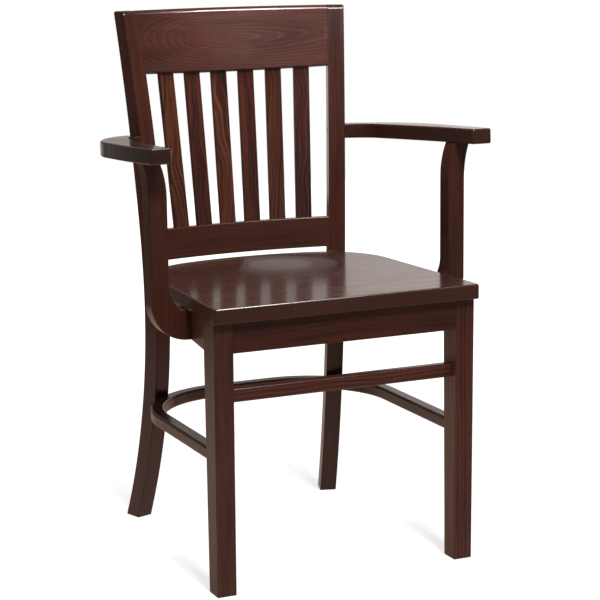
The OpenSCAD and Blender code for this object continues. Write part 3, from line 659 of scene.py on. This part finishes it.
slat = {"width": 27.5, "thick": 9.5, "pitchTop": 50, "pitchLow": 45.5, "tenon": 12,
        "arris": 1.3}
slatLook = {**plain, "cloud": 0.85, "cloudScale": (3.2, 64, 40), "cloudLow": 0.46,
            "cloudTop": 0.60, "even": 0.0, "line": 0.75, "lineFade": 0.9, "ringWarp": 3.6,
            "ringScale": (0.9, 46, 46), "ringEdge": 0.8, "wander": 0.035}
# the foot value of each tint is the painted shade at the slat's foot, where 1 leaves it unshaded
slatTints = [
    {"dark": (0.040, 0.0115, 0.0085), "mid": (0.084, 0.0190, 0.0125),
     "warm": (0.150, 0.041, 0.019), "light": (0.240, 0.092, 0.032), "foot": 1.0},
    {"dark": (0.042, 0.0135, 0.0095), "mid": (0.115, 0.0245, 0.0190),
     "warm": (0.125, 0.030, 0.021), "light": (0.170, 0.060, 0.036), "foot": 0.58},
    {"dark": (0.046, 0.0135, 0.0090), "mid": (0.092, 0.0240, 0.0140),
     "warm": (0.150, 0.039, 0.019), "light": (0.270, 0.100, 0.042), "foot": 0.95},
    {"dark": (0.042, 0.0130, 0.0105), "mid": (0.114, 0.0240, 0.0185),
     "warm": (0.150, 0.037, 0.021), "light": (0.190, 0.062, 0.036), "foot": 0.62},
    {"dark": (0.048, 0.0130, 0.0085), "mid": (0.098, 0.0250, 0.0135),
     "warm": (0.130, 0.038, 0.018), "light": (0.180, 0.070, 0.034), "foot": 1.0},
    {"dark": (0.038, 0.0115, 0.0105), "mid": (0.096, 0.0225, 0.0180),
     "warm": (0.110, 0.028, 0.021), "light": (0.160, 0.080, 0.070), "foot": 0.68}]
slatLine = block(-slat["width"] / 2, -slat["thick"] / 2, slat["width"] / 2, slat["thick"] / 2,
                 slat["arris"])
for order, tint in enumerate(slatTints):
    offCentre = order - (len(slatTints) - 1) / 2
    foot = onBoard(lowPlan, offCentre * slat["pitchLow"], lowRail["thick"] / 2,
                   lowPlan["height"])
    head = onBoard(crestPlan, offCentre * slat["pitchTop"], crest["thick"] / 2, 0)
    rising = head - foot
    bowTurn = (math.asin(-foot.x / lowPlan["radius"])
               + math.asin(-head.x / crestPlan["radius"])) / 2
    slatPiece = sawn(f"backSlat{order + 1}", slatLine, rising.length + 2 * slat["tenon"], 2,
                     (0, 0))
    cutFrom = 0.9 * order
    layGrain(slatPiece, lambda p: (p.z + cutFrom, p.x + 0.3 * order, p.y))
    setDown(slatPiece, chair @ moved(*foot)
            @ Matrix.Rotation(math.atan2(rising.x, rising.z), 4, "Y")
            @ Matrix.Rotation(-math.asin(rising.y / rising.length), 4, "X")
            @ Matrix.Rotation(bowTurn, 4, "Z") @ moved(0, 0, -slat["tenon"]))
    # painted shade: each slat darkens towards its foot, standing in for the light from above
    # falling off down the back
    slatWood = woodMaterial(f"slatWood{order + 1}", {
        **slatLook, **tint, "paintedShadeAlong": (cutFrom + 0.08, cutFrom + 0.26, tint["foot"])})
    finished(slatPiece, f"back_slat_{order + 1}", slatWood)
print("slats made")

# arms

arm = {"rootRise": 218, "frontRise": 235, "thick": 24.5, "frontY": 68, "frontWidth": 35,
       "outX": 291, "elbowX": 230, "elbowY": 312, "elbowOutX": 290, "frontRadius": 5, "heel": 6,
       "arris": 3.4}
rootZ = seat["height"] + arm["rootRise"]
frontZ = seat["height"] + arm["frontRise"]
root = outerArris(rootZ)
armSlope = math.atan((frontZ - rootZ) / (root[1] - arm["frontY"]))
rootX, rootY = -root[0], root[1]
rootBack = rootY + rearLeg["seatDepth"] + arm["heel"]
elbowX, elbowY, elbowOut = arm["elbowX"], arm["elbowY"], arm["elbowOutX"]
armOut, armFront, tip = arm["outX"], arm["frontY"], arm["frontRadius"]
armIn = armOut - arm["frontWidth"]
fore, rear = elbowY - armFront, rootY - elbowY
# along the inner side to the front and back along the outer side; the shares of the two
# runs place the handles of the curves
armLine = rounded(
    bezier((rootX, rootY), (elbowX - rear * 0.05, rootY - rear * 0.3),
           (elbowX - rear * 0.1, elbowY + rear * 0.45), (elbowX, elbowY))
    + bezier((elbowX + 1, elbowY - 6), (elbowX + fore * 0.04, elbowY - fore * 0.25),
             (armIn, armFront + fore * 0.38), (armIn, armFront + tip + 1))
    + [(armIn, armFront, tip), (armOut, armFront - 1, tip)]
    + bezier((armOut, armFront + tip + 1), (armOut + 5, armFront + fore * 0.3),
             (elbowOut + 3, elbowY - fore * 0.38), (elbowOut, elbowY - rear * 0.5))
    + bezier((elbowOut, elbowY - rear * 0.45), (elbowOut, elbowY + rear * 0.27),
             (mix(rootX, elbowOut, 0.55), rootBack - 3), (rootX + 1, rootBack))
    + [(rootX - rearLeg["thick"], rootBack), (rootX - rearLeg["thick"], rootY)])
onArm = chair @ moved(0, rootY, rootZ) @ Matrix.Rotation(-armSlope, 4, "X") @ moved(0, -rootY, 0)
armLeft = sawn("armrestLeft", [(-x, y) for x, y in armLine], arm["thick"], 2,
               (arm["arris"], arm["arris"]))
layGrain(armLeft, lambda p: (p.y + 2.6, p.x, p.z))
setDown(armLeft, onArm @ moved(0, 0, -arm["thick"]))
trim(armLeft, outerFaceSpot, plankFacing)
armRight = otherSide(armLeft, "armrestRight", (1.7, 0.2, 0.3))
finished(armLeft, "armrest_left", armWood)
finished(armRight, "armrest_right", rightArmWood)

# arm supports, sawn to their front view and trimmed against the side apron and the arm

support = {"x": 274, "width": 30, "depth": 30, "y": 125, "heel": 60, "hollow": 57,
           "hollowRise": 17, "flare": 10, "flareHeight": 62, "arris": 2.4, "footX": 150}
stemOut, heel, hollow = support["x"], support["heel"], support["hollow"]
stemIn = stemOut - support["width"]
hollowZ = seat["height"] + support["hollowRise"]
hollowEnd = math.degrees(math.asin((hollowZ - frameTop) / hollow))
flare, lift = support["flare"], support["flareHeight"]
flareZ = frontZ - arm["thick"] - lift
# from the foot up the outer side to the arm, and down the inner side
supportLine = (
    [(support["footX"], frameBottom)]
    + arc(stemOut - heel, frameBottom + heel, heel, -90, 0)
    + bezier((stemOut, flareZ), (stemOut, flareZ + lift / 2),
             (stemOut + flare * 0.6, flareZ + lift * 0.8), (stemOut + flare, flareZ + lift), 10)
    + [(stemOut + flare * 1.4, frontZ), (stemIn + flare * 1.6, frontZ)]
    + bezier((stemIn + flare * 1.2, flareZ + lift), (stemIn + flare * 0.7, flareZ + lift * 0.8),
             (stemIn, flareZ + lift / 2), (stemIn, flareZ), 10)
    + arc(stemIn - hollow, hollowZ, hollow, 0, -hollowEnd)
    + [(support["footX"], frameTop)])
sideX = -spanHalf + frameRail["sideIn"]
plankCorner = fromLeg(legA(frameTop), plankB)
sideLean = math.degrees(math.atan((plankCorner[0] - sideX)
                                  / (plankCorner[1] - frontLeg["depth"])))
sideFacing = turned(-sideLean, "Z") @ Vector((1, 0, 0))
supportLeft = sawn("armSupportLeft", [(-x, z) for x, z in supportLine], support["depth"], 1,
                   (support["arris"], support["arris"]))
layGrain(supportLeft, lambda p: (p.z + 4.4, p.x, p.y))
setDown(supportLeft, chair @ moved(0, support["y"], 0))
trim(supportLeft, chair @ Vector((sideX * mm, frontLeg["depth"] * mm, 0)), sideFacing)
trim(supportLeft, onArm @ Vector((0, 0, -arm["thick"] * mm)),
     Matrix.Rotation(-armSlope, 4, "X") @ Vector((0, 0, 1)))
supportRight = otherSide(supportLeft, "armSupportRight", (0.8, 0.5, 0.2))
finished(supportLeft, "arm_support_left", supportWood)
finished(supportRight, "arm_support_right", supportWood)
print("arms made")

# stretchers

bar = {"top": 323, "height": 22, "depth": 18, "inset": 20.5, "round": 4}
barLine = block(bar["inset"], bar["top"] - bar["height"], bar["inset"] + bar["depth"],
                bar["top"], bar["round"])
frontBar = sawn("frontStretcher", barLine, betweenLegs, 0, (0, 0))
layGrain(frontBar, lambda p: (p.x + 6.1, p.z, p.y))
setDown(frontBar, chair @ moved(-betweenLegs / 2, 0, 0))
finished(frontBar, "front_stretcher", barWood)

# the hoop: its section carried back, swung round, carried across, swung round and carried
# forwards

hoop = {"top": 228.5, "height": 20, "width": 23, "x": 206.5, "y": 424, "bend": 156, "round": 4,
        "startY": 30, "recessRadius": 4.4, "recessDepth": 6}
bendX, bendY = hoop["x"] - hoop["bend"], hoop["y"] - hoop["bend"]
hoopZ = hoop["top"] - hoop["height"] / 2
hoopWide, hoopHigh = hoop["width"] / 2, hoop["height"] / 2
hoopBar = outlineFace("hoopStretcher", block(
    hoop["x"] - hoopWide, hoopZ - hoopHigh, hoop["x"] + hoopWide, hoopZ + hoopHigh,
    hoop["round"]), 1)
setDown(hoopBar, moved(0, hoop["startY"], 0))


def carry(x, y):
    bpy.ops.mesh.extrude_region_move(TRANSFORM_OT_translate={"value": (x * mm, y * mm, 0)})


def swing(x, y):
    bpy.ops.mesh.spin(steps=36, angle=-math.pi / 2, center=(x * mm, y * mm, 0), axis=(0, 0, 1))


bpy.ops.object.mode_set(mode="EDIT")
bpy.ops.mesh.select_all(action="SELECT")
carry(0, bendY - hoop["startY"])
swing(bendX, bendY)
carry(-2 * bendX, 0)
swing(-bendX, bendY)
carry(0, hoop["startY"] - bendY)
tidyFaces()


def alongHoop(p):
    x, y = abs(p.x) / mm - bendX, p.y / mm - bendY
    if y < 0:
        run, off = hoop["bend"] * math.pi / 2 - y + bendX, x - hoop["bend"]
    elif x < 0:
        run, off = x + bendX, y - hoop["bend"]
    else:
        run, off = bendX + math.atan2(x, y) * hoop["bend"], math.hypot(x, y) - hoop["bend"]
    return (math.copysign(run * mm, p.x) + 9.3, off * mm, p.z)


# recesses over the screws into the rear legs
hoopCorner = innerArris(hoopZ)
hoopAim = math.degrees(math.atan2(hoopCorner[1] - bendY, -hoopCorner[0] - bendX))
for side in (-1, 1):
    freshStart()
    bpy.ops.mesh.primitive_cylinder_add(vertices=32, radius=hoop["recessRadius"] * mm,
                                        depth=hoop["recessDepth"] * mm)
    cutter = bpy.context.object
    setDown(cutter, moved(side * bendX, bendY, hoopZ) @ turned(90 - side * (90 - hoopAim), "Z")
            @ moved(hoop["bend"] - hoopWide, 0, 0) @ turned(90, "Y"))
    only(hoopBar)
    bpy.ops.object.modifier_add(type="BOOLEAN")
    hoopBar.modifiers[-1].operation = "DIFFERENCE"
    hoopBar.modifiers[-1].object = cutter
    bpy.ops.object.modifier_apply(modifier=hoopBar.modifiers[-1].name)
    only(cutter)
    bpy.ops.object.delete()

layGrain(hoopBar, alongHoop)
setDown(hoopBar, chair)
legBackFacing = Vector((0, -frameTop, taper)).normalized()
trim(hoopBar, chair @ Vector((0, (frontLeg["depth"] - taper) * mm, 0)), legBackFacing)
finished(hoopBar, "hoop_stretcher", hoopWood)
print("stretchers made")

# plugs over the arm screws, a little proud of the posts

plug = {"width": 10, "length": 5, "proud": 0.3, "edge": 0.35, "across": 0.62}
jointZ = rootZ - arm["thick"] / 2
plugPlace = (inLeg @ moved(legA(jointZ) + rearLeg["thick"] / splayCos,
                           plankB + profileY(jointZ) + rearLeg["seatDepth"] * plug["across"],
                           jointZ)
             @ turned(-90 - rearLeg["splay"], "Y"))
freshStart()
bpy.ops.mesh.primitive_cylinder_add(vertices=40, radius=plug["width"] / 2 * mm,
                                    depth=(plug["length"] + plug["proud"]) * mm)
plugLeft = bpy.context.object
plugLeft.name = "armPlugLeft"
setDown(plugLeft, moved(0, 0, (plug["length"] - plug["proud"]) / 2))
pickEdges(plugLeft, lambda a, b: abs(a.z - b.z) < nearly and a.z < 0)
bpy.ops.mesh.bevel(offset=plug["edge"] * mm, segments=2)
tidyFaces()
layGrain(plugLeft, lambda p: (p.x + 7.0, p.y, p.z))
setDown(plugLeft, plugPlace)
plugRight = otherSide(plugLeft, "armPlugRight", (1.0, 0.1, 0.1))
only(plugLeft)
plugRight.select_set(True)
bpy.ops.object.join()
plugs = bpy.context.object
plugs.name = "armPlugs"
finished(plugs, "armrest_plugs", armWood)

# finishes of the CAD nodes that stay

# painted light: the side rails are about twice as light as the other rails, to brighten them in
# the shade under the seat
paintedLightSideWood = woodMaterial("sideRailWoodWithPaintedLight", {
    **plain, "onNode": True, "lie": (0, 0, 90), "dark": (0.075, 0.0220, 0.0160),
    "mid": (0.170, 0.0480, 0.0330), "warm": (0.20, 0.055, 0.035)})
rearWood = woodMaterial("stainedRearRailWood", {**plain, "onNode": True})
blockWood = woodMaterial("stainedBlockWood", {**plain, "onNode": True, "lie": (0, 0, 45),
                                              "gloss": 0.45, "coat": 0.1})
dowelWood = woodMaterial("bareDowelWood", {
    **plain, "onNode": True, "dark": (0.42, 0.28, 0.15), "mid": (0.55, 0.38, 0.21),
    "warm": (0.60, 0.42, 0.24), "light": (0.66, 0.48, 0.28), "gloss": 0.55, "coat": 0.0,
    "bare": (0.6, 0.45, 0.3)})


def steelMaterial(name):
    material, node, ramp, spread, _ = newMaterial(name)
    stretch = node("ShaderNodeMapping", {"Vector": node("ShaderNodeTexCoord").outputs["Object"],
                                         "Scale": (900, 900, 120)})
    brushed = node("ShaderNodeTexNoise", {"Vector": stretch.outputs["Vector"],
                                          "Scale": 1.0}).outputs["Fac"]
    shader = node("ShaderNodeBsdfPrincipled", {
        "Base Color": ramp(brushed, [(0.0, (0.10, 0.09, 0.08)), (1.0, (0.24, 0.22, 0.20))]),
        "Metallic": 1.0, "Roughness": spread(brushed, 0, 1, 0.28, 0.5)})
    node("ShaderNodeOutputMaterial", {"Surface": shader.outputs["BSDF"]})
    return material


screwSteel = steelMaterial("brownedScrewSteel")
keptNodes = {
    "side_seat_rail_left": paintedLightSideWood, "side_seat_rail_right": paintedLightSideWood, "rear_seat_rail": rearWood,
    "front_corner_block_left": blockWood, "front_corner_block_right": blockWood,
    "rear_corner_block_left": blockWood, "rear_corner_block_right": blockWood,
    "seat_rail_dowels": dowelWood, "back_rail_dowels": dowelWood, "stretcher_dowels": dowelWood,
    "armrest_dowels": dowelWood, "armrest_screws": screwSteel, "arm_support_screws": screwSteel,
    "corner_block_screws": screwSteel, "seat_screws": screwSteel, "hoop_screws": screwSteel}
for keptNode, finish in keptNodes.items():
    for holder in nodes[keptNode].material_slots:
        holder.material = finish
print("finishes assigned")

# floor, pale and plain: white for the camera but for the legs' shadows, dim in the lacquer

paper = {"size": 7, "y": 0.6, "albedo": 0.8, "glow": 0.755, "farGlow": 1.0, "nearEdge": 0.75,
         "farEdge": 1.5, "mirrorTone": (1.0, 0.70, 0.56, 1), "mirrored": 0.42,
         "farMirrored": 0.07, "mirrorNear": 0.9, "mirrorFar": 2.4, "frontShare": 0.5,
         "frontY": -0.45, "backY": 0.05, "bounceTone": (1.0, 0.93, 0.88, 1), "bounce": 0.62}


def paperMaterial(name):
    material, node, _, spread, maths = newMaterial(name)
    place = node("ShaderNodeTexCoord").outputs["Object"]
    away = node("ShaderNodeVectorMath", {0: place}, operation="LENGTH").outputs["Value"]
    paint = node("ShaderNodeBsdfDiffuse", {"Color": (paper["albedo"],) * 3 + (1,)})
    glow = node("ShaderNodeEmission", {"Strength": spread(
        away, paper["nearEdge"], paper["farEdge"], paper["glow"], paper["farGlow"],
        "SMOOTHSTEP")})
    pale = node("ShaderNodeAddShader", {0: paint.outputs["BSDF"], 1: glow.outputs["Emission"]})
    reflected = spread(away, paper["mirrorNear"], paper["mirrorFar"], paper["mirrored"],
                       paper["farMirrored"], "SMOOTHSTEP")
    depth = node("ShaderNodeSeparateXYZ", {"Vector": place}).outputs["Y"]
    frontPart = spread(depth, paper["frontY"], paper["backY"], paper["frontShare"])
    dim = node("ShaderNodeEmission", {"Color": paper["mirrorTone"],
                                      "Strength": maths("MULTIPLY", reflected, frontPart)})
    bounce = node("ShaderNodeEmission", {"Color": paper["bounceTone"],
                                         "Strength": paper["bounce"]})
    ray = node("ShaderNodeLightPath").outputs
    forCamera = node("ShaderNodeMixShader", {
        "Fac": ray["Is Camera Ray"], 1: bounce.outputs["Emission"], 2: pale.outputs["Shader"]})
    forMirror = node("ShaderNodeMixShader", {
        "Fac": ray["Is Glossy Ray"], 1: forCamera.outputs["Shader"], 2: dim.outputs["Emission"]})
    node("ShaderNodeOutputMaterial", {"Surface": forMirror.outputs["Shader"]})
    return material


freshStart()
bpy.ops.mesh.primitive_plane_add(size=1)
floor = bpy.context.object
floor.name = "studioFloor"
setDown(floor, Matrix.Translation((0, paper["y"], 0))
        @ Matrix.Diagonal((paper["size"], paper["size"], 1, 1)))
floor.data.materials.append(paperMaterial("studioFloorPaper"))

# world: white for the camera; for the rest a dim room with a pale wall behind to the right,
# whose brightness is given from left to right and from below upwards

room = {"tone": (1.0, 0.90, 0.85, 1), "level": 0.09, "wallNear": 0.3, "wallFar": 0.7,
        "across": ((0.0, 0.0), (0.36, 0.0), (0.52, 0.2), (0.60, 0.30), (0.675, 0.52),
                   (0.703, 0.42), (0.714, 0.95), (0.73, 1.0)),
        "upwards": ((0.0, 0.0), (0.35, 0.05), (0.46, 2.2), (0.50, 2.2), (0.518, 0.08),
                    (0.545, 0.10), (0.575, 0.66), (0.66, 0.62), (0.74, 0.05))}


def furnishWorld(world):
    world.use_nodes = True
    node, ramp, spread, maths = shaderTools(world.node_tree)
    way = node("ShaderNodeTexCoord").outputs["Generated"]
    parts = node("ShaderNodeSeparateXYZ", {"Vector": way}).outputs
    across = node("ShaderNodeFloatCurve", {"Value": spread(parts["X"], -1, 1)})
    shape = across.mapping.curves[0]
    for position, brightness in room["across"][1:-1]:
        shape.points.new(position, brightness)
    shape.points[0].location = room["across"][0]
    shape.points[-1].location = room["across"][-1]
    for point in shape.points:
        point.handle_type = "VECTOR"
    across.mapping.update()
    behind = spread(parts["Y"], room["wallNear"], room["wallFar"])
    wall = maths("MULTIPLY", maths("MULTIPLY", across.outputs["Value"], behind),
                 ramp(spread(parts["Z"], -1, 1), room["upwards"]))
    dimRoom = node("ShaderNodeBackground", {"Color": room["tone"],
                                            "Strength": maths("ADD", wall, room["level"])})
    backdrop = node("ShaderNodeBackground", {"Color": (1, 1, 1, 1)})
    seen = node("ShaderNodeLightPath").outputs["Is Camera Ray"]
    either = node("ShaderNodeMixShader", {
        "Fac": seen, 1: dimRoom.outputs["Background"], 2: backdrop.outputs["Background"]})
    node("ShaderNodeOutputWorld", {"Surface": either.outputs["Shader"]})


studio = bpy.data.worlds.new("studioWorld")
bpy.context.scene.world = studio
furnishWorld(studio)


# soft lights, each with the pieces that it lights

def grouped(name, pieces):
    group = bpy.data.collections.new(name)
    for piece in pieces:
        group.objects.link(piece)
    return group


def softLight(name, light, pieces):
    bpy.ops.object.light_add(type="AREA", location=light["spot"])
    lamp = bpy.context.object
    lamp.name = name
    lamp.data.shape = "RECTANGLE"
    lamp.data.size, lamp.data.size_y = light["size"]
    lamp.data.energy = light["power"]
    aim = Vector(light["target"]) - Vector(light["spot"])
    lamp.rotation_euler = aim.to_track_quat("-Z", "Y").to_euler()
    lamp.light_linking.receiver_collection = grouped(name + "Pieces", pieces)
    return lamp


chairPieces = [thing for thing in bpy.data.objects if thing.type == "MESH" and thing != floor]
backPieces = (crestRail, postLeft, postRight)
overhead = {"spot": (0.30, -0.2, 2.6), "target": (0.2, -0.1, 0), "size": (1.3, 1.3),
            "power": 34}
softLight("overheadSoftbox", overhead, [thing for thing in chairPieces
                                        if thing not in backPieces])
# the same light on the back, without its reflection, so that the top edge keeps a dark line
softLight("overheadOnBack", overhead, backPieces).visible_glossy = False
softLight("frontSoftbox", {"spot": (-0.45, -2.7, 3.3), "target": (0, 0, 0.3),
                           "size": (0.8, 0.8), "power": 78}, chairPieces)

# seen only as highlights on the lacquer: along the seat's front, along the crest, on the
# crest's right half, and as two small ovals at the back of the seat
crestFace = (0.05, 0.19, 0.87)
highlights = {
    "seatStrip": {"spot": (0.46, -0.72, 2.5), "target": (0.46, -0.71, 0), "size": (0.75, 1.25),
                  "power": 62, "on": (seatPanel, frontBar, hoopBar)},
    "crestStrip": {"spot": (0.66, -1.18, 2.20), "target": crestFace, "size": (0.9, 0.75),
                   "power": 62, "on": backPieces},
    "crestPanel": {"spot": (0.56, -2.1, 1.6), "target": crestFace, "size": (1.4, 1.0),
                   "power": 0.9, "on": (crestRail, postRight)},
    "seatSpot1": {"spot": (0.056, 0.145, 0.471), "target": (-0.344, -0.755, 0.2975),
                  "size": (0.20, 0.028), "power": 0.0013, "on": (seatPanel,), "oval": True},
    "seatSpot2": {"spot": (0.056, 0.142, 0.471), "target": (-0.344, -0.758, 0.2975),
                  "size": (0.11, 0.019), "power": 0.0007, "on": (seatPanel,), "oval": True}}
for lampName, glint in highlights.items():
    sheen = softLight(lampName, glint, glint["on"])
    sheen.visible_diffuse = False
    if glint.get("oval"):
        sheen.data.shape = "ELLIPSE"
        sheen.visible_camera = False

# the floor is lit by itself, and takes the legs' shadows only
floorLamp = softLight("floorSoftbox", {"spot": (-0.25, -5.0, 10.5), "target": (0, 0, 0),
                                       "size": (1.5, 1.5), "power": 640}, [floor])
floorLamp.light_linking.blocker_collection = grouped(
    "legShadows", (legLeft, legRight, postLeft, postRight))

# camera, solved from the photograph

shot = {"spot": (-1.2799, -2.880168, 1.02028), "yaw": 24.42, "pitch": -11.03, "roll": -0.66,
        "lens": 116.90, "sensor": 36}
yaw, pitch, roll = (math.radians(shot[key]) for key in ("yaw", "pitch", "roll"))
ahead = Vector((math.sin(yaw) * math.cos(pitch), math.cos(yaw) * math.cos(pitch),
                math.sin(pitch)))
sideways = Vector((math.cos(yaw), -math.sin(yaw), 0))
above = sideways.cross(ahead)
rightward = sideways * math.cos(roll) + above * math.sin(roll)
upward = above * math.cos(roll) - sideways * math.sin(roll)
bpy.ops.object.camera_add(location=shot["spot"])
camera = bpy.context.object
camera.name = "photoCamera"
axes = Matrix((rightward, upward, -ahead)).transposed()
camera.matrix_world = Matrix.Translation(shot["spot"]) @ axes.to_4x4()
camera.data.sensor_width = shot["sensor"]
camera.data.lens = shot["lens"]
bpy.context.scene.camera = camera
bpy.context.scene.view_settings.view_transform = "Standard"
freshStart()
print("light, floor and camera set")
